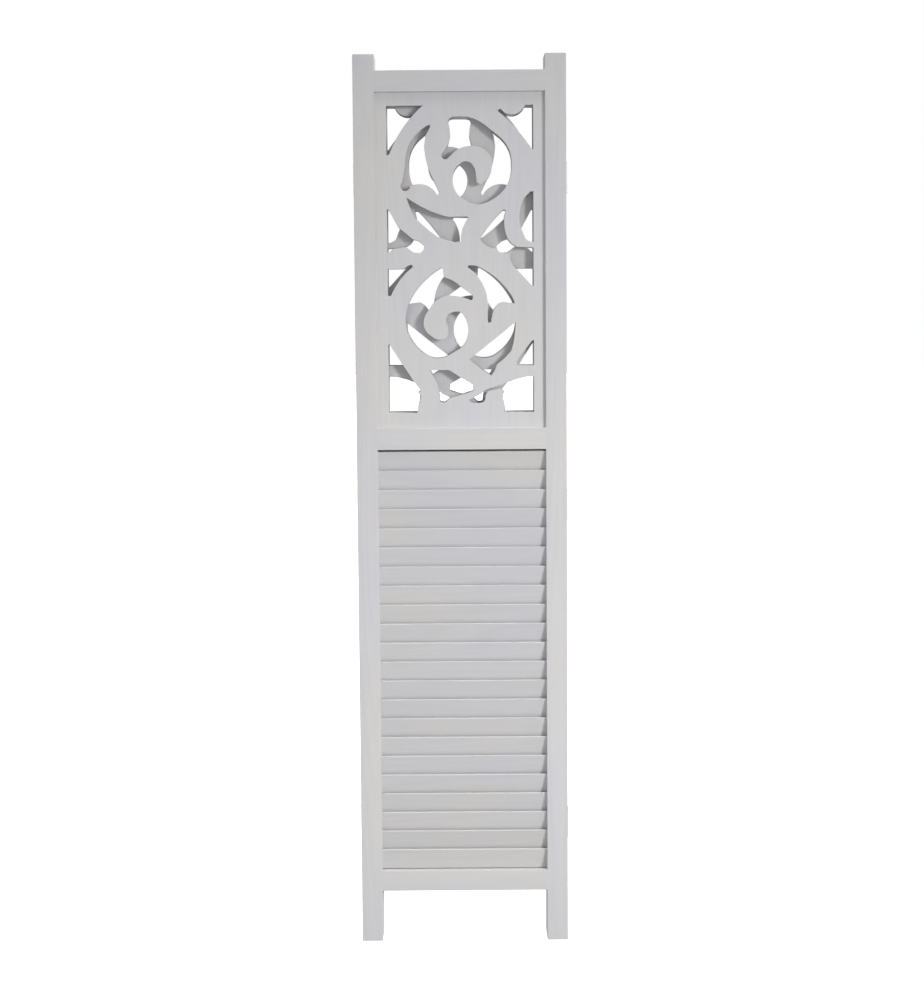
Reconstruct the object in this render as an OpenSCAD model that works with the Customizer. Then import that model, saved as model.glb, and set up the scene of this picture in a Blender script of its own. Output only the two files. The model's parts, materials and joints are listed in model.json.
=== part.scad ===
// Folding room divider screen: four identical panels, folded flat.
// Each panel is a doweled frame with a pierced fretwork board above and fixed
// louvre slats below. Butt hinges, let into the stiles, join the panels zigzag.
// Millimetres. +Z is up, the first panel faces -Y, and the origin is at the
// middle of the folded stack, on the floor.

/* [Panel] */
// Width of one panel
panel_w = 400; // [380:5:460]
// Height of one panel, from the floor to the top of the stiles
panel_h = 1700; // [1650:10:1900]
// Thickness of the frame
panel_t = 20; // [19:0.5:24]
// Gap between two panels when they are folded
fold_gap = 1; // [0.8:0.1:2]

/* [Frame] */
// Width of a stile
stile_w = 40; // [36:1:48]
// Height that a stile stands above the top rail
ear_h = 30; // [10:1:60]
// Height of the top rail
top_rail_h = 40; // [36:1:60]
// Height of the middle rail
middle_rail_h = 41.5; // [36:0.5:60]
// Height of the bottom rail
bottom_rail_h = 40; // [36:1:60]
// Height of the legs below the bottom rail
leg_h = 99.5; // [40:0.5:150]
// Width that the frame's arrises are eased by
arris = 1; // [0.6:0.2:1.6]

/* [Fretwork] */
// Height of the opening that the pierced board fills
fret_h = 631; // [600:1:680]
// Thickness of the pierced board
board_t = 8; // [6:0.5:9]
// Depth of the board's face behind the front of the frame
board_recess = 7; // [5:0.5:8]
// Depth of the grooves that hold the board
groove_depth = 6; // [4:0.5:7]
// Longest straight step on a sawn curve
arc_step = 6; // [4:1:12]

/* [Louvres] */
// Number of slats in a panel
slat_count = 22; // [20:1:24]
// Width of a slat, along its slope
slat_w = 40; // [34:0.5:41]
// Thickness of a slat
slat_t = 4.5; // [4:0.25:5.5]
// Slope of a slat away from upright, with its top edge forward
slat_tilt = 14; // [12:0.5:17]
// Depth of a slat's front corner behind the front of the frame
slat_recess = 5; // [4:0.25:6]
// Gap between the middle rail and the first slat
slat_gap_top = 3; // [1.5:0.5:5]
// Gap between the last slat and the bottom rail
slat_gap_bottom = 1; // [0.5:0.5:3]
// Depth of the slots that hold the ends of the slats
slot_depth = 6; // [4:0.5:8]

/* [Dowels] */
// Diameter of a dowel
dowel_d = 8; // [6:0.5:9]
// Length of a dowel, half of it in each piece
dowel_l = 36; // [24:2:40]

/* [Hinges] */
// Heights of the hinges' middles above the floor
hinge_z = [230, 850, 1470];
// Length of a hinge
hinge_l = 60; // [50:5:80]
// Width of a leaf from the edge of the panel
leaf_w = 22; // [18:1:26]
// Thickness of a leaf
leaf_t = 1.5; // [1.2:0.1:1.5]
// Diameter of the hinge barrel
barrel_d = 4; // [4:0.2:5]
// Diameter of the hinge pin
pin_d = 1.9; // [1.6:0.1:2]
// Distance of the hinge axis beyond the edge of the panel
axis_out = 0.3; // [0.3:0.1:0.6]
// Length of a screw
screw_l = 14; // [10:1:16]

/* [Hidden] */
$fn = 48;

panel_count = 4;
seam_count = panel_count - 1;
panel_parts = [
    "left_stile", "right_stile", "top_rail", "middle_rail", "bottom_rail",
    "fretwork", "louvres", "dowels"
];
hinge_parts = ["front_leaves", "rear_leaves", "pins", "front_screws", "rear_screws"];
function panel_node(panel, part) = str("panel_", panel, "_", part);
function hinge_node(seam, part) = str("hinge_", seam, seam + 1, "_", part);

half_w = panel_w / 2;
half_t = panel_t / 2;
open_w = panel_w - 2 * stile_w;
half_open = open_w / 2;
stack_pitch = panel_t + fold_gap;

// Heights of the frame's members above the floor
bottom_rail_z = leg_h;
louvre_z = bottom_rail_z + bottom_rail_h;
top_rail_z = panel_h - ear_h - top_rail_h;
fret_z = top_rail_z - fret_h;
middle_rail_z = fret_z - middle_rail_h;
louvre_h = middle_rail_z - louvre_z;

// Louvres: how much room a sloping slat takes, and where each one sits
slat_rise = slat_w * cos(slat_tilt) + slat_t * sin(slat_tilt);
slat_run = slat_w * sin(slat_tilt) + slat_t * cos(slat_tilt);
slat_pitch = (louvre_h - slat_gap_top - slat_gap_bottom - slat_rise) / (slat_count - 1);
slat_y = -half_t + slat_recess + slat_run / 2;
slat_l = open_w + 2 * slot_depth;
function slat_mid_z(i) = louvre_z + slat_gap_bottom + slat_rise / 2 + i * slat_pitch;

// Dowels: two at each end of each rail, this far in from its edges
dowel_inset = 12;
dowel_clear = 0.05;
rail_zs = [bottom_rail_z, middle_rail_z, top_rail_z];
rail_hs = [bottom_rail_h, middle_rail_h, top_rail_h];
function dowel_zs(i) = [rail_zs[i] + dowel_inset, rail_zs[i] + rail_hs[i] - dowel_inset];

// Stretches of a stile's inner edge that no rail meets: where each starts, and
// its length
free_zs = [0, louvre_z, fret_z, top_rail_z + top_rail_h];
free_hs = [leg_h, louvre_h, fret_h, ear_h];

// Hinges
hinge_r = barrel_d / 2;
pin_r = pin_d / 2;
pin_clear = 0.05;
knuckle_count = 5;
knuckle_gap = 0.15;
knuckle_l = hinge_l / knuckle_count;
swing_clear = 0.4;
mortise_clear = 0.2;
pin_head_t = 0.8;
pin_head_r = pin_r + 0.6;
axis_x = half_w + axis_out;
leaf_root = pin_r + 0.35;
screw_zs = [-hinge_l / 3, 0, hinge_l / 3];
screw_x = half_w - leaf_w * 0.55;
screw_r = 1.4;
screw_head_r = 2.8;
screw_head_t = 1.3;
screw_drive_w = 0.7;
screw_drive_depth = 0.7;
screw_clear = 0.05;

paint = [0.80, 0.80, 0.81];
bare_wood = [0.86, 0.74, 0.56];
steel = [0.66, 0.67, 0.68];

// Pierced design, drawn on a board 320 wide and 631 high. x is measured from
// the board's centre line and y down from the top rail. A point marked via is
// not a corner: the line from the point before it to the point after it is the
// arc that passes through it.
design_w = 320;
design_h = 631;
via = 1;
corner_top_left = [
    [-138, 25], [-69, 25], [-108, 68, via], [-133, 116], [-138, 117]
];
corner_top_right = [
    [138, 25], [138, 107], [135, 106], [108, 71, via], [71, 35], [77, 32],
    [98, 43, via], [123, 25]
];
crescent_upper_left = [
    [-56, 61], [-60, 62], [-92, 92, via], [-103, 135], [-109, 168],
    [-104, 184, via], [-94, 175], [-74, 171, via], [-43, 192], [-39, 187],
    [-49, 166], [-62, 133, via], [-67, 100], [-64, 80], [-56, 66]
];
spiral_upper = [
    [-22, 55], [-19, 48], [-12, 46], [13, 46], [35, 54, via], [55, 68],
    [76, 85], [92, 107, via], [97, 135], [95, 157, via], [85, 179],
    [64, 199, via], [35, 210], [14, 204, via], [-5, 190], [-12, 177, via],
    [-14, 164], [-11, 147, via], [1, 133], [11, 129, via], [22, 134],
    [28, 144, via], [30, 156], [31, 168], [38, 172, via], [46, 167],
    [56, 155, via], [60, 140], [59, 123, via], [47, 109], [28, 101, via],
    [9, 102], [-6, 108, via], [-17, 118], [-25, 125], [-32, 124, via],
    [-35, 117], [-22, 98], [-18, 80], [-19, 67, via]
];
crescent_lower_left = [
    [-101, 196], [-64, 218, via], [-22, 233], [12, 232], [15, 235],
    [5, 253, via], [1, 279], [-12, 280], [-41, 271], [-66, 252, via],
    [-86, 233], [-94, 216, via]
];
leaf_right = [
    [81, 220], [86, 221], [83, 232], [83, 250, via], [89, 274], [95, 282],
    [107, 290], [138, 291], [138, 363], [135, 363], [102, 327],
    [94, 314, via], [95, 300], [81, 302, via], [66, 292], [48, 287, via],
    [37, 273], [57, 246, via]
];
lens_right = [
    [138, 186], [138, 280], [132, 280], [123, 275], [115, 255],
    [112, 227, via], [121, 198], [133, 186]
];
leaf_left = [
    [-138, 218], [-135, 219], [-117, 252], [-90, 274], [-80, 277],
    [-69, 286], [-70, 295, via], [-80, 300], [-88, 299], [-103, 289],
    [-128, 292], [-135, 299], [-138, 299]
];
fin_left = [
    [-138, 330], [-107, 330], [-100, 324], [-93, 322], [-90, 326],
    [-112, 347, via], [-132, 380], [-138, 380]
];
spiral_lower = [
    [-36, 328], [-33, 329], [-32, 346], [-16, 352, via], [-2, 362],
    [22, 379], [23, 386], [20, 390], [3, 384, via], [-22, 380],
    [-42, 386, via], [-58, 404], [-67, 416, via], [-71, 430],
    [-68, 445, via], [-56, 457], [-41, 464, via], [-26, 459],
    [-24, 447, via], [-29, 428], [-24, 417, via], [-12, 411], [-1, 411],
    [3, 415], [14, 442, via], [4, 476], [-2, 481], [-27, 495],
    [-52, 498, via], [-72, 488], [-90, 470, via], [-101, 450], [-105, 430],
    [-103, 410, via], [-98, 393], [-75, 359, via]
];
horn_right = [
    [14, 324], [27, 324], [67, 348, via], [100, 389], [102, 396], [80, 393],
    [68, 400, via], [60, 415], [57, 431], [51, 432], [51, 402],
    [45, 367, via], [14, 328]
];
crescent_lower_right = [
    [103, 431], [101, 460, via], [95, 486], [83, 499], [68, 511], [63, 524],
    [57, 532], [46, 525], [30, 514, via], [16, 501], [28, 491], [64, 463]
];
wedge_right = [
    [138, 466], [138, 513], [107, 513], [106, 507], [110, 498], [135, 466]
];
corner_bottom_left = [
    [-138, 471], [-135, 473], [-89, 545], [-77, 560], [-83, 564],
    [-77, 573, via], [-82, 582], [-84, 602], [-138, 602]
];
pendant = [
    [-60, 521], [-24, 521], [-2, 535], [21, 549], [22, 561], [-2, 569, via],
    [-22, 575], [-32, 583], [-40, 582], [-42, 566], [-47, 545, via],
    [-56, 528]
];
corner_bottom_right = [
    [138, 534], [122, 535], [103, 540], [84, 547], [78, 550], [50, 558],
    [42, 562, via], [37, 567], [15, 578], [16, 582], [24, 584], [37, 584],
    [44, 580, via], [45, 571], [50, 562], [74, 557], [81, 564], [79, 575],
    [82, 585], [81, 602], [138, 602]
];
fret_openings = [
    corner_top_left, corner_top_right, crescent_upper_left, spiral_upper,
    crescent_lower_left, leaf_right, lens_right, leaf_left, fin_left,
    spiral_lower, horn_right, crescent_lower_right, wedge_right,
    corner_bottom_left, pendant, corner_bottom_right
];

// Centre of the circle through three points
function circle_centre(a, b, c) =
    let (
        turn = 2 * cross(b - a, c - a),
        ab = b - a,
        ac = c - a,
        ux = (ac.y * (ab * ab) - ab.y * (ac * ac)) / turn,
        uy = (ab.x * (ac * ac) - ac.x * (ab * ab)) / turn
    )
    a + [ux, uy];

// Points from a towards c along the arc through b, without c itself
function arc_points(a, b, c) =
    let (
        centre = circle_centre(a, b, c),
        radius = norm(a - centre),
        start = atan2(a.y - centre.y, a.x - centre.x),
        finish = atan2(c.y - centre.y, c.x - centre.x),
        side = sign(cross(b - a, c - a)),
        sweep = side * (((finish - start) * side + 720) % 360),
        steps = max(3, ceil(abs(sweep) * PI / 180 * radius / arc_step))
    )
    [
        for (i = [0 : steps - 1])
            let (angle = start + sweep * i / steps)
            centre + radius * [cos(angle), sin(angle)]
    ];

function flat(p) = [p.x, p.y];

// An outline with its arcs worked out, scaled to this board and turned upright
function outline(points) =
    let (count = len(points))
    [
        for (i = [0 : count - 1])
            let (
                here = points[i],
                next = points[(i + 1) % count],
                after = points[(i + 2) % count],
                run = is_undef(next[2])
                    ? [flat(here)]
                    : arc_points(flat(here), flat(next), flat(after))
            )
            if (is_undef(here[2]))
                each [
                    for (p = run)
                        [p.x * open_w / design_w, -p.y * fret_h / design_h]
                ]
    ];

// Panels stand one behind the other, and every second one is turned about.
module in_stack(panel) {
    translate([0, (panel - (panel_count + 1) / 2) * stack_pitch, 0])
        rotate([0, 0, facing(panel) > 0 ? 0 : 180])
            children();
}

// Odd panels face forward and even ones back. Odd seams are hinged at the right
// edge of the stack and even ones at the left.
function facing(panel) = panel % 2 == 1 ? 1 : -1;
function seam_edge(seam) = seam % 2 == 1 ? 1 : -1;

// Edge of a panel, seen from its own front, that carries a seam's hinges: -1 is
// the left and 1 the right
function seam_side(panel, seam) = seam_edge(seam) * facing(panel);

// Face of the panels that a seam's hinges are let into: 1 is the back
function seam_face(seam) = seam % 2 == 1 ? 1 : -1;

// Face of a stile that carries hinges, or 0 where it has none
function stile_face(panel, side) =
    let (
        faces = [
            for (seam = [panel - 1, panel])
                if (seam >= 1 && seam <= seam_count && seam_side(panel, seam) == side)
                    seam_face(seam)
        ]
    )
    len(faces) == 0 ? 0 : faces[0];

// Copies a hinge part to each hinge height at one edge and face of a panel.
// The part is drawn for the right edge and the back, with y = 0 mid-seam.
module at_hinges(side, face) {
    for (z = hinge_z)
        translate([0, 0, z])
            mirror([side < 0 ? 1 : 0, 0, 0])
                mirror([0, face < 0 ? 1 : 0, 0])
                    translate([0, half_t + fold_gap / 2, 0])
                        children();
}

module hinge_mortise() {
    translate([half_w - leaf_w - mortise_clear, -fold_gap / 2 - leaf_t, -hinge_l / 2 - mortise_clear])
        cube([leaf_w + mortise_clear + 1, leaf_t + 1, hinge_l + 2 * mortise_clear]);
    translate([axis_x, 0, 0])
        cylinder(r = hinge_r + swing_clear, h = hinge_l + 4 * pin_head_t, center = true);
    for (z = screw_zs)
        translate([screw_x, -fold_gap / 2, z])
            rotate([90, 0, 0])
                cylinder(r = screw_r + screw_clear, h = screw_l + 0.5);
}

// The dowels, or with some growth the holes that they are glued into
module dowel_set(grow) {
    for (i = [0 : len(rail_zs) - 1], z = dowel_zs(i), side = [-1, 1])
        translate([side * half_open, 0, z])
            rotate([0, 90, 0])
                cylinder(r = dowel_d / 2 + grow, h = dowel_l + 2 * grow, center = true);
}

// Cuts that ease a straight arris: across, starting at the origin, or upright
module level_cut(length) {
    rotate([0, 90, 0])
        cylinder(r = arris, h = length, $fn = 4);
}

module upright_cut(length) {
    cylinder(r = arris, h = length, $fn = 4);
}

// A rail's arrises are eased between the stiles.
module rail_arrises(i) {
    for (y = [-half_t, half_t], z = [rail_zs[i], rail_zs[i] + rail_hs[i]])
        translate([-half_open, y, z])
            level_cut(open_w);
}

// A stile's are eased all round, apart from where the rails meet it.
module stile_arrises(side) {
    inner = side * half_open;
    outer = side * half_w;
    for (y = [-half_t, half_t]) {
        translate([outer, y, 0])
            upright_cut(panel_h);
        for (i = [0 : len(free_zs) - 1])
            translate([inner, y, free_zs[i]])
                upright_cut(free_hs[i]);
        for (z = [0, panel_h])
            translate([min(inner, outer), y, z])
                level_cut(stile_w);
    }
    for (x = [inner, outer], z = [0, panel_h])
        translate([x, -half_t, z])
            rotate([-90, 0, 0])
                upright_cut(panel_t);
}

// Everything a slat takes up, at its own place in the panel
module slat(i, length) {
    translate([0, slat_y, slat_mid_z(i)])
        rotate([slat_tilt, 0, 0])
            cube([length, slat_t, slat_w], center = true);
}

module board_blank() {
    translate([0, -half_t + board_recess, fret_z - groove_depth])
        translate([-half_open - groove_depth, 0, 0])
            cube([open_w + 2 * groove_depth, board_t, fret_h + 2 * groove_depth]);
}

// side is -1 for the left stile and 1 for the right. hinge_face is the face
// that hinges are let into, or 0 where the stile carries none.
module stile(side, hinge_face) {
    color(paint)
        difference() {
            translate([side > 0 ? half_open : -half_w, -half_t, 0])
                cube([stile_w, panel_t, panel_h]);
            stile_arrises(side);
            board_blank();
            dowel_set(dowel_clear);
            for (i = [0 : slat_count - 1])
                slat(i, slat_l);
            if (hinge_face != 0)
                at_hinges(side, hinge_face)
                    hinge_mortise();
        }
}

module rail(i) {
    color(paint)
        difference() {
            translate([-half_open, -half_t, rail_zs[i]])
                cube([open_w, panel_t, rail_hs[i]]);
            rail_arrises(i);
            board_blank();
            dowel_set(dowel_clear);
        }
}

module fretwork() {
    color(paint)
        translate([0, -half_t + board_recess + board_t, top_rail_z])
            rotate([90, 0, 0])
                linear_extrude(board_t)
                    difference() {
                        translate([-half_open - groove_depth, -fret_h - groove_depth])
                            square([open_w + 2 * groove_depth, fret_h + 2 * groove_depth]);
                        for (points = fret_openings)
                            polygon(outline(points));
                    }
}

module louvres() {
    color(paint)
        for (i = [0 : slat_count - 1])
            slat(i, slat_l);
}

module dowels() {
    color(bare_wood)
        dowel_set(0);
}

// One hinge's leaf at its screwed side, with the knuckles numbered in turn
module leaf(turn) {
    difference() {
        union() {
            translate([half_w - leaf_w, -fold_gap / 2 - leaf_t, -hinge_l / 2])
                cube([leaf_w + axis_out - leaf_root, leaf_t, hinge_l]);
            for (k = [0 : knuckle_count - 1])
                if (k % 2 == turn)
                    translate([axis_x, 0, -hinge_l / 2 + k * knuckle_l])
                        cylinder(r = hinge_r, h = knuckle_l);
        }
        translate([axis_x, 0, 0])
            cylinder(r = pin_r + pin_clear, h = hinge_l + 1, center = true);
        for (k = [0 : knuckle_count - 1])
            if (k % 2 != turn)
                translate([axis_x, 0, -hinge_l / 2 + k * knuckle_l - knuckle_gap])
                    cylinder(r = hinge_r + swing_clear, h = knuckle_l + 2 * knuckle_gap);
        for (z = screw_zs)
            translate([screw_x, -fold_gap / 2, z])
                screw_shape(screw_clear);
    }
}

// A countersunk screw with its head's face at y = 0, pointing to -Y
module screw_shape(grow) {
    rotate([90, 0, 0]) {
        cylinder(r1 = screw_head_r + grow, r2 = screw_r + grow, h = screw_head_t);
        cylinder(r = screw_r + grow, h = screw_l);
    }
}

module screw() {
    difference() {
        screw_shape(0);
        for (turn = [0, 90])
            rotate([0, turn, 0])
                cube([screw_head_r * 1.2, 2 * screw_drive_depth, screw_drive_w], center = true);
    }
}

module hinge_leaves(panel, seam, turn) {
    color(steel)
        at_hinges(seam_side(panel, seam), seam_face(seam))
            leaf(turn);
}

module hinge_screws(panel, seam) {
    color(steel)
        at_hinges(seam_side(panel, seam), seam_face(seam))
            for (z = screw_zs)
                translate([screw_x, -fold_gap / 2, z])
                    screw();
}

module hinge_pins(panel, seam) {
    color(steel)
        at_hinges(seam_side(panel, seam), seam_face(seam))
            translate([axis_x, 0, 0]) {
                cylinder(r = pin_r, h = hinge_l, center = true);
                for (end = [-1, 1])
                    translate([0, 0, end * (hinge_l + pin_head_t) / 2])
                        cylinder(r = pin_head_r, h = pin_head_t, center = true);
            }
}

for (p = [1 : panel_count])
    in_stack(p) {
        stile(-1, stile_face(p, -1));
        stile(1, stile_face(p, 1));
        rail(2);
        rail(1);
        rail(0);
        fretwork();
        louvres();
        dowels();
    }
for (s = [1 : seam_count]) {
    in_stack(s) {
        hinge_leaves(s, s, 0);
        hinge_screws(s, s);
        hinge_pins(s, s);
    }
    in_stack(s + 1) {
        hinge_leaves(s + 1, s, 1);
        hinge_screws(s + 1, s);
    }
}
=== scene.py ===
import json
import math

import bpy
from mathutils import Matrix, Vector

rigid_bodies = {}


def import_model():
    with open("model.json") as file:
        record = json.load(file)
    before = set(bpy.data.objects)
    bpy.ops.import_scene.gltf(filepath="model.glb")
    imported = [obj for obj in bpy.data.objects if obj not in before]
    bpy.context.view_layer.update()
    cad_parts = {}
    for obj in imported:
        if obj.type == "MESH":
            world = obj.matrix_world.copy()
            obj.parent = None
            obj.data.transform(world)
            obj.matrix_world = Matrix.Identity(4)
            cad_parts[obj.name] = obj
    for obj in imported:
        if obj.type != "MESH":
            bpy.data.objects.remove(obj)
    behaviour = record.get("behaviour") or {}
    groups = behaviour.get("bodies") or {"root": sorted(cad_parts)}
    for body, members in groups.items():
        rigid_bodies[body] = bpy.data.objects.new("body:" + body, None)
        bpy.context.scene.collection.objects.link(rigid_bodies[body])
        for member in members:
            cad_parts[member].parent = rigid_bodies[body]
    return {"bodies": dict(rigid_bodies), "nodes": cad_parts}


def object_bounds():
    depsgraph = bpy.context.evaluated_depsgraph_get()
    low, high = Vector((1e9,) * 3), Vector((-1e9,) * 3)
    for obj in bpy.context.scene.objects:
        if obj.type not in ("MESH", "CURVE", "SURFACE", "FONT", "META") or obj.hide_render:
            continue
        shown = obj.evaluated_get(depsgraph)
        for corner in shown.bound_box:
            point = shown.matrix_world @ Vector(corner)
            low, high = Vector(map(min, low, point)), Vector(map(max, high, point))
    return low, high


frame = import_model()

MM = 0.001
CAD_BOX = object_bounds()
FRONT_Y = CAD_BOX[0].y
PANELS = sorted(frame["bodies"])

# ---------------------------------------------------------------- camera

LENS_MM = 75.67
SENSOR_MM = 36
CAMERA_DISTANCE = 3.99
CAMERA_X = 0.0027
CAMERA_HEIGHT = 1.247
CAMERA_PITCH = math.radians(5.52)
CAMERA_YAW = math.radians(0.046)
CAMERA_ROLL = math.radians(-0.414)


def make_camera():
    data = bpy.data.cameras.new("camera")
    data.lens = LENS_MM
    data.sensor_width = SENSOR_MM
    camera = bpy.data.objects.new("camera", data)
    bpy.context.scene.collection.objects.link(camera)
    place = Vector((CAMERA_X, FRONT_Y - CAMERA_DISTANCE, CAMERA_HEIGHT))
    camera.matrix_world = (
        Matrix.Translation(place)
        @ Matrix.Rotation(CAMERA_YAW, 4, "Z")
        @ Matrix.Rotation(math.pi / 2 - CAMERA_PITCH, 4, "X")
        @ Matrix.Rotation(CAMERA_ROLL, 4, "Z")
    )
    bpy.context.scene.camera = camera


# ---------------------------------------------------------------- materials

ALONG_X = 0
ALONG_Z = 2

# The way that a shift moves a texture, and the range that most of a noise is in
SHIFT_WAY = (1.0, 0.7, 1.3)
NOISE_SPAN = (0.3, 0.7)


class Material:
    """A node tree with one Principled shader, and short ways to add nodes."""

    def __init__(self, name):
        self.made = bpy.data.materials.new(name)
        self.made.use_nodes = True
        self.tree = self.made.node_tree
        self.shader = self.tree.nodes["Principled BSDF"]

    def node(self, kind, **settings):
        node = self.tree.nodes.new("ShaderNode" + kind)
        for key, value in settings.items():
            setattr(node, key, value)
        return node

    def link(self, output, socket):
        self.tree.links.new(output, socket)

    def feed(self, socket, value):
        """Links an output to a socket, or sets a plain value on it."""
        if isinstance(value, bpy.types.NodeSocket):
            self.link(value, socket)
        else:
            socket.default_value = value

    def maths(self, operation, a, b=0.0):
        node = self.node("Math", operation=operation)
        self.feed(node.inputs[0], a)
        self.feed(node.inputs[1], b)
        return node.outputs[0]

    def spread(self, value, low, high, to_low=0.0, to_high=1.0):
        """A value moved from one range to another and held inside it."""
        node = self.node("MapRange")
        self.feed(node.inputs["Value"], value)
        node.inputs["From Min"].default_value = low
        node.inputs["From Max"].default_value = high
        node.inputs["To Min"].default_value = to_low
        node.inputs["To Max"].default_value = to_high
        return node.outputs[0]

    def mix(self, factor, a, b, blend="MIX"):
        node = self.node("Mix", data_type="RGBA", blend_type=blend)
        self.feed(node.inputs[0], factor)
        for socket, value in ((node.inputs[6], a), (node.inputs[7], b)):
            plain = not isinstance(value, bpy.types.NodeSocket)
            self.feed(socket, (*value, 1.0) if plain else value)
        return node.outputs[2]

    def grey(self, value):
        node = self.node("CombineColor")
        for socket in node.inputs:
            self.feed(socket, value)
        return node.outputs[0]

    def place(self, along=ALONG_Z, stretch=1.0, shift=0.0):
        """The piece's own coordinates, drawn out along one axis, and moved."""
        where = self.node("TexCoord")
        mapping = self.node("Mapping")
        scale = [1.0, 1.0, 1.0]
        scale[along] = 1.0 / stretch
        mapping.inputs["Location"].default_value = [part * shift for part in SHIFT_WAY]
        mapping.inputs["Scale"].default_value = scale
        self.link(where.outputs["Object"], mapping.inputs["Vector"])
        return mapping.outputs[0]

    def noise(self, where, scale, detail=2.0, roughness=0.5):
        node = self.node("TexNoise")
        self.link(where, node.inputs["Vector"])
        node.inputs["Scale"].default_value = scale
        node.inputs["Detail"].default_value = detail
        node.inputs["Roughness"].default_value = roughness
        return node.outputs["Fac"]

    def bump(self, height, distance, strength):
        node = self.node("Bump")
        node.inputs["Strength"].default_value = strength
        node.inputs["Distance"].default_value = distance
        self.link(height, node.inputs["Height"])
        self.link(node.outputs[0], self.shader.inputs["Normal"])


PAINT_COOL = (0.600, 0.600, 0.632)
PAINT_WARM = (0.622, 0.614, 0.606)
BARE_WOOD = (0.520, 0.400, 0.265)

# How far each noise is drawn out along the wood, and how fine it is across it:
# growth rings, fibres, broad patches of colour, the coat and the rubbed arrises
RING_STRETCH = 20
RING_SCALE = 13
RING_CONTOURS = 120
FIBRE_STRETCH = 80
FIBRE_SCALE = 600
BROAD_STRETCH = 3
BROAD_SCALE = 9
COAT_STRETCH = 4
COAT_SCALE = 40
RUB_STRETCH = 6
RUB_SCALE = 160

# Brightness of the paint: of the darkest piece, what the lightest piece adds,
# and what the rings, the fibres and the unevenness of the coat change
PAINT_TONE = 0.975
PIECE_TONE = 0.04
RING_TONE = 0.022
FIBRE_TONE = 0.030
COAT_TONE = (-0.012, 0.028)
PAINT_ROUGHNESS = (0.52, 0.66)

# Share of bare wood that shows on an arris, and where it is rubbed right
# through, with the range of the rubbing noise over which each comes in
THIN_PAINT = (0.05, 0.30)
THIN_SPAN = (0.48, 0.62)
BARE_PATCH = 0.50
BARE_SPAN = (0.66, 0.70)
ARRIS_SPAN = (0.12, 0.22)

# Relief of the paint's surface, and each part's share of it
PAINT_RELIEF = 0.25 * MM
RING_RELIEF = -0.35
FIBRE_RELIEF = 0.35
COAT_RELIEF = 0.55


def wood_grain(mat, along, shift):
    """Growth rings, seen as long lines, and fine fibres. Both from 0 to 1.
    The lines are the contours of a smooth noise drawn out along the length."""
    field = mat.noise(mat.place(along, RING_STRETCH, shift), RING_SCALE, 1.0, 0.3)
    waves = mat.maths("SINE", mat.maths("MULTIPLY", field, RING_CONTOURS))
    lines = mat.spread(waves, -0.2, 1.0)
    fibres = mat.noise(mat.place(along, FIBRE_STRETCH, shift), FIBRE_SCALE, 3.0, 0.6)
    return lines, fibres


def arris_mask(mat):
    """1 in the middle of an eased arris of a front or back face, else 0."""
    parts = mat.node("SeparateXYZ")
    mat.link(mat.node("TexCoord").outputs["Normal"], parts.inputs[0])
    square = mat.maths("POWER", mat.maths("ABSOLUTE", parts.outputs["Y"]), 2.0)
    both = mat.maths("MULTIPLY", square, mat.maths("SUBTRACT", 1.0, square))
    return mat.spread(both, *ARRIS_SPAN)


def painted_wood(name, along, shift):
    """Matt pale paint over softwood. The grain shows through it as faint lines,
    and on the arrises it is rubbed thin in places."""
    mat = Material(name)
    lines, fibres = wood_grain(mat, along, shift)
    broad = mat.noise(mat.place(along, BROAD_STRETCH, shift), BROAD_SCALE)
    paint = mat.mix(mat.spread(broad, 0.35, 0.65), PAINT_COOL, PAINT_WARM)

    island = mat.node("NewGeometry").outputs["Random Per Island"]
    tone = mat.maths("ADD", PAINT_TONE, mat.maths("MULTIPLY", island, PIECE_TONE))
    tone = mat.maths("SUBTRACT", tone, mat.maths("MULTIPLY", lines, RING_TONE))
    tone = mat.maths("SUBTRACT", tone, mat.maths("MULTIPLY", fibres, FIBRE_TONE))
    coat = mat.noise(mat.place(along, COAT_STRETCH, shift), COAT_SCALE, 4.0, 0.6)
    tone = mat.maths("ADD", tone, mat.spread(coat, *NOISE_SPAN, *COAT_TONE))
    colour = mat.mix(1.0, paint, mat.grey(tone), "MULTIPLY")

    rubs = mat.noise(mat.place(along, RUB_STRETCH, shift), RUB_SCALE, 4.0, 0.65)
    thin = mat.spread(rubs, *THIN_SPAN, *THIN_PAINT)
    bare = mat.spread(rubs, *BARE_SPAN, 0.0, BARE_PATCH)
    wear = mat.maths("MULTIPLY", arris_mask(mat), mat.maths("ADD", thin, bare))
    colour = mat.mix(wear, colour, BARE_WOOD)
    mat.link(colour, mat.shader.inputs["Base Color"])

    mat.link(mat.spread(coat, *NOISE_SPAN, *PAINT_ROUGHNESS), mat.shader.inputs["Roughness"])
    height = mat.maths("MULTIPLY", lines, RING_RELIEF)
    height = mat.maths("ADD", height, mat.maths("MULTIPLY", fibres, FIBRE_RELIEF))
    height = mat.maths("ADD", height, mat.maths("MULTIPLY", coat, COAT_RELIEF))
    mat.bump(height, PAINT_RELIEF, 0.5)
    return mat.made


DOWEL_TONE = 1.08
DOWEL_RING_TONE = 0.22
DOWEL_FIBRE_TONE = 0.15
DOWEL_SHIFT = 0.4
DOWEL_ROUGHNESS = 0.6
DOWEL_RELIEF = 0.1 * MM


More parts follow.
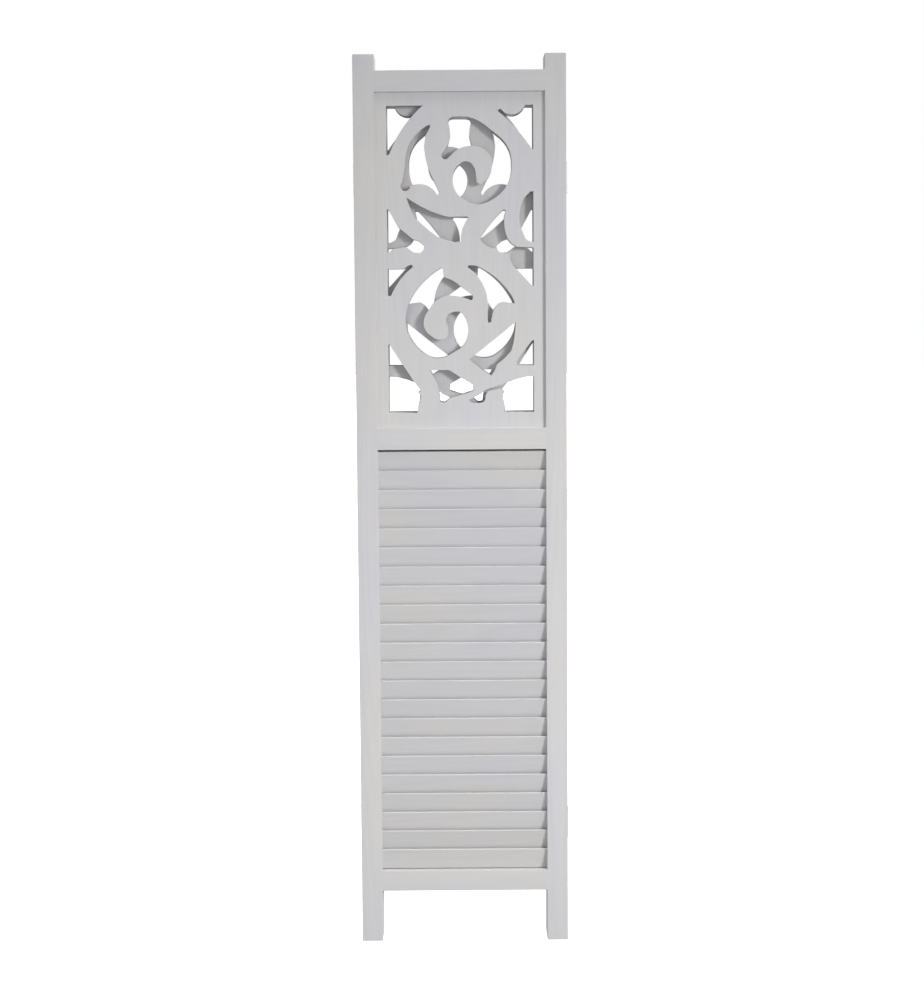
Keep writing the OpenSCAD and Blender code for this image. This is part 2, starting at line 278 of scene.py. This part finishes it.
def bare_wood(name):
    """Beech dowel rod."""
    mat = Material(name)
    lines, fibres = wood_grain(mat, ALONG_X, DOWEL_SHIFT)
    tone = mat.maths("SUBTRACT", DOWEL_TONE, mat.maths("MULTIPLY", lines, DOWEL_RING_TONE))
    tone = mat.maths("SUBTRACT", tone, mat.maths("MULTIPLY", fibres, DOWEL_FIBRE_TONE))
    colour = mat.mix(1.0, BARE_WOOD, mat.grey(tone), "MULTIPLY")
    mat.link(colour, mat.shader.inputs["Base Color"])
    mat.shader.inputs["Roughness"].default_value = DOWEL_ROUGHNESS
    mat.bump(fibres, DOWEL_RELIEF, 0.6)
    return mat.made


LEAF_COLOUR = (0.47, 0.46, 0.45)
PIN_COLOUR = (0.44, 0.44, 0.44)
SCREW_COLOUR = (0.50, 0.49, 0.46)
DRAWN = 30
NOT_DRAWN = 1
MARK_SCALE = 2500
MARK_SHARE = 0.4
MARK_RELIEF = 0.02 * MM
PATCH_SCALE = 180
PATCH_SHARE = 0.6
PATCH_TONE = (0.86, 1.04)


def metal(name, colour, low, high, drawn):
    """Steel with fine marks, which may be drawn out along its height, and dull
    patches. Its roughness goes from low to high."""
    mat = Material(name)
    marks = mat.noise(mat.place(ALONG_Z, drawn), MARK_SCALE)
    patches = mat.noise(mat.place(), PATCH_SCALE, 3.0, 0.6)
    tone = mat.spread(patches, *NOISE_SPAN, *PATCH_TONE)
    mat.link(mat.mix(1.0, colour, mat.grey(tone), "MULTIPLY"), mat.shader.inputs["Base Color"])
    mat.shader.inputs["Metallic"].default_value = 1.0
    worn = mat.maths("MULTIPLY", patches, PATCH_SHARE)
    worn = mat.maths("ADD", mat.maths("MULTIPLY", marks, MARK_SHARE), worn)
    mat.link(mat.spread(worn, *NOISE_SPAN, low, high), mat.shader.inputs["Roughness"])
    mat.bump(marks, MARK_RELIEF, 0.5)
    return mat.made


# ---------------------------------------------------------------- arrises

SLAT_ARRIS_W = 1.2 * MM
SLAT_ARRIS_SEGMENTS = 3
FRET_ARRIS_W = 0.5 * MM
FRET_ARRIS_SEGMENTS = 1
ARRIS_TURN = math.radians(60)
WOOD_SHARP = math.radians(50)
STEEL_SHARP = math.radians(30)
WELD_DISTANCE = 0.001 * MM


def smooth_group(name, sharp_angle):
    """Geometry nodes that shade a mesh smooth, apart from its sharp edges."""
    group = bpy.data.node_groups.new(name, "GeometryNodeTree")
    group.interface.new_socket("Geometry", in_out="INPUT", socket_type="NodeSocketGeometry")
    group.interface.new_socket("Geometry", in_out="OUTPUT", socket_type="NodeSocketGeometry")
    add = group.nodes.new
    start = add("NodeGroupInput")
    end = add("NodeGroupOutput")
    drop = add("GeometryNodeRemoveAttribute")
    drop.inputs["Name"].default_value = "custom_normal"
    faces = add("GeometryNodeSetShadeSmooth")
    faces.domain = "FACE"
    edges = add("GeometryNodeSetShadeSmooth")
    edges.domain = "EDGE"
    edges.inputs["Shade Smooth"].default_value = False
    angle = add("GeometryNodeInputMeshEdgeAngle")
    sharp = add("FunctionNodeCompare")
    sharp.operation = "GREATER_THAN"
    sharp.inputs["B"].default_value = sharp_angle
    join = group.links.new
    join(start.outputs[0], drop.inputs["Geometry"])
    join(drop.outputs["Geometry"], faces.inputs["Geometry"])
    join(angle.outputs["Unsigned Angle"], sharp.inputs["A"])
    join(sharp.outputs["Result"], edges.inputs["Selection"])
    join(faces.outputs["Geometry"], edges.inputs["Geometry"])
    join(edges.outputs["Geometry"], end.inputs[0])
    return group


def smooth_shading(obj, group):
    """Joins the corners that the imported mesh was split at, and shades it."""
    weld = obj.modifiers.new("weld", "WELD")
    weld.merge_threshold = WELD_DISTANCE
    smooth = obj.modifiers.new("smooth", "NODES")
    smooth.node_group = group


def ease_edges(obj, width, segments):
    """Eases a node's arrises, flat with one segment and round with more."""
    bevel = obj.modifiers.new("arrises", "BEVEL")
    bevel.width = width
    bevel.segments = segments
    bevel.limit_method = "ANGLE"
    bevel.angle_limit = ARRIS_TURN
    bevel.use_clamp_overlap = False


def flatten_faces(obj):
    """Makes large faces shade flat and leaves the turn to the arrises."""
    normals = obj.modifiers.new("normals", "WEIGHTED_NORMAL")
    normals.keep_sharp = True


# ---------------------------------------------------------------- the screen

PANEL_SHIFT = 0.9


def dress_panel(index, body, group):
    """Paints one panel, with its grain along each member's length. The shift
    gives each panel its own grain."""
    shift = PANEL_SHIFT * index
    upright = painted_wood(f"paint_{index}_upright", ALONG_Z, shift)
    level = painted_wood(f"paint_{index}_level", ALONG_X, shift)
    for part, paint in (
        ("left_stile", upright),
        ("right_stile", upright),
        ("fretwork", upright),
        ("top_rail", level),
        ("middle_rail", level),
        ("bottom_rail", level),
        ("louvres", level),
    ):
        obj = frame["nodes"][f"{body}_{part}"]
        obj.material_slots[0].material = paint
        smooth_shading(obj, group)
        if part == "louvres":
            ease_edges(obj, SLAT_ARRIS_W, SLAT_ARRIS_SEGMENTS)
        elif part == "fretwork":
            ease_edges(obj, FRET_ARRIS_W, FRET_ARRIS_SEGMENTS)
        flatten_faces(obj)


def dress_hinges(group):
    steel = metal("leaf_steel", LEAF_COLOUR, 0.30, 0.46, DRAWN)
    pin_steel = metal("pin_steel", PIN_COLOUR, 0.20, 0.32, DRAWN)
    screw_steel = metal("screw_steel", SCREW_COLOUR, 0.24, 0.40, NOT_DRAWN)
    dowel = bare_wood("dowel_beech")
    for name, obj in frame["nodes"].items():
        if name.endswith("_leaves"):
            obj.material_slots[0].material = steel
            smooth_shading(obj, group)
        elif name.endswith("_pins"):
            obj.material_slots[0].material = pin_steel
        elif name.endswith("_screws"):
            obj.material_slots[0].material = screw_steel
        elif name.endswith("_dowels"):
            obj.material_slots[0].material = dowel


# ---------------------------------------------------------------- studio

FLOOR_SIZE = 60.0
FLOOR_COLOUR = (0.94, 0.94, 0.94, 1)
FLOOR_GLOW = 0.9
WHITE = (1, 1, 1, 1)
AMBIENT = 0.39
AMBIENT_COLOUR = (0.98, 0.985, 1.0, 1)
KEY_COLOUR = (1.0, 0.985, 0.965)
FILL_COLOUR = (0.94, 0.95, 1.0)
OVERHEAD_Z = 4.0


def make_floor():
    """A white floor with a glow that brings it up to the white of the surround.
    It isn't seen by diffuse light, so it doesn't light the screen from below."""
    mesh = bpy.data.meshes.new("floor")
    half = FLOOR_SIZE / 2
    mesh.from_pydata(
        [(-half, -half, 0), (half, -half, 0), (half, half, 0), (-half, half, 0)],
        [],
        [(0, 1, 2, 3)],
    )
    floor = bpy.data.objects.new("floor", mesh)
    bpy.context.scene.collection.objects.link(floor)
    floor.visible_diffuse = False
    mat = Material("floor_white")
    mat.shader.inputs["Base Color"].default_value = FLOOR_COLOUR
    mat.shader.inputs["Roughness"].default_value = 0.9
    mat.shader.inputs["Specular IOR Level"].default_value = 0.1
    mat.shader.inputs["Emission Color"].default_value = WHITE
    mat.shader.inputs["Emission Strength"].default_value = FLOOR_GLOW
    mesh.materials.append(mat.made)


def make_world():
    """A plain white surround that lights the screen less than it shows."""
    world = bpy.data.worlds.new("studio")
    bpy.context.scene.world = world
    world.use_nodes = True
    tree = world.node_tree
    shown = tree.nodes["Background"]
    shown.inputs["Color"].default_value = WHITE
    shown.inputs["Strength"].default_value = 1.0
    cast = tree.nodes.new("ShaderNodeBackground")
    cast.inputs["Color"].default_value = AMBIENT_COLOUR
    cast.inputs["Strength"].default_value = AMBIENT
    path = tree.nodes.new("ShaderNodeLightPath")
    mix = tree.nodes.new("ShaderNodeMixShader")
    tree.links.new(path.outputs["Is Camera Ray"], mix.inputs[0])
    tree.links.new(cast.outputs[0], mix.inputs[1])
    tree.links.new(shown.outputs[0], mix.inputs[2])
    tree.links.new(mix.outputs[0], tree.nodes["World Output"].inputs[0])


def softbox(name, azimuth, elevation, distance, size, power, aim, spread=180, colour=(1, 1, 1)):
    """A square light of some watts. Angles are in degrees, and azimuth goes to
    the right of the screen's front. Aim is the point on the front that it turns
    to: how far to the right of the middle, and how far above the floor."""
    data = bpy.data.lights.new(name, "AREA")
    data.shape = "SQUARE"
    data.size = size
    data.energy = power
    data.color = colour
    data.spread = math.radians(spread)
    light = bpy.data.objects.new(name, data)
    bpy.context.scene.collection.objects.link(light)
    turn = math.radians(azimuth)
    rise = math.radians(elevation)
    level = math.cos(rise)
    away = Vector((math.sin(turn) * level, -math.cos(turn) * level, math.sin(rise)))
    light.location = Vector((aim[0], FRONT_Y, aim[1])) + away * distance
    light.rotation_mode = "QUATERNION"
    light.rotation_quaternion = away.to_track_quat("Z", "Y")


def overhead(strength, width, forward):
    """Even light from above, as wide as a large ceiling light and a little in
    front of the screen. Angles in degrees."""
    data = bpy.data.lights.new("overhead", "SUN")
    data.energy = strength
    data.angle = math.radians(width)
    light = bpy.data.objects.new("overhead", data)
    bpy.context.scene.collection.objects.link(light)
    light.location = (0, 0, OVERHEAD_Z)
    light.rotation_euler = (math.radians(forward), 0, 0)


def make_lights():
    softbox(
        "key",
        azimuth=43,
        elevation=20,
        distance=5.0,
        size=1.0,
        power=12.5,
        aim=(-0.15, 0.38),
        spread=50,
        colour=KEY_COLOUR,
    )
    softbox(
        "fill",
        azimuth=-50,
        elevation=8,
        distance=4.0,
        size=2.0,
        power=8,
        aim=(0, 0.4),
        colour=FILL_COLOUR,
    )
    softbox("back", azimuth=150, elevation=25, distance=4.0, size=1.5, power=40, aim=(0, 0.8))
    overhead(strength=1.8, width=40, forward=10)


make_camera()
make_world()
make_floor()
make_lights()
wood_shading = smooth_group("smooth_wood", WOOD_SHARP)
steel_shading = smooth_group("smooth_steel", STEEL_SHARP)
for number, panel in enumerate(PANELS, 1):
    dress_panel(number, panel, wood_shading)
dress_hinges(steel_shading)
bpy.context.scene.view_settings.view_transform = "Standard"
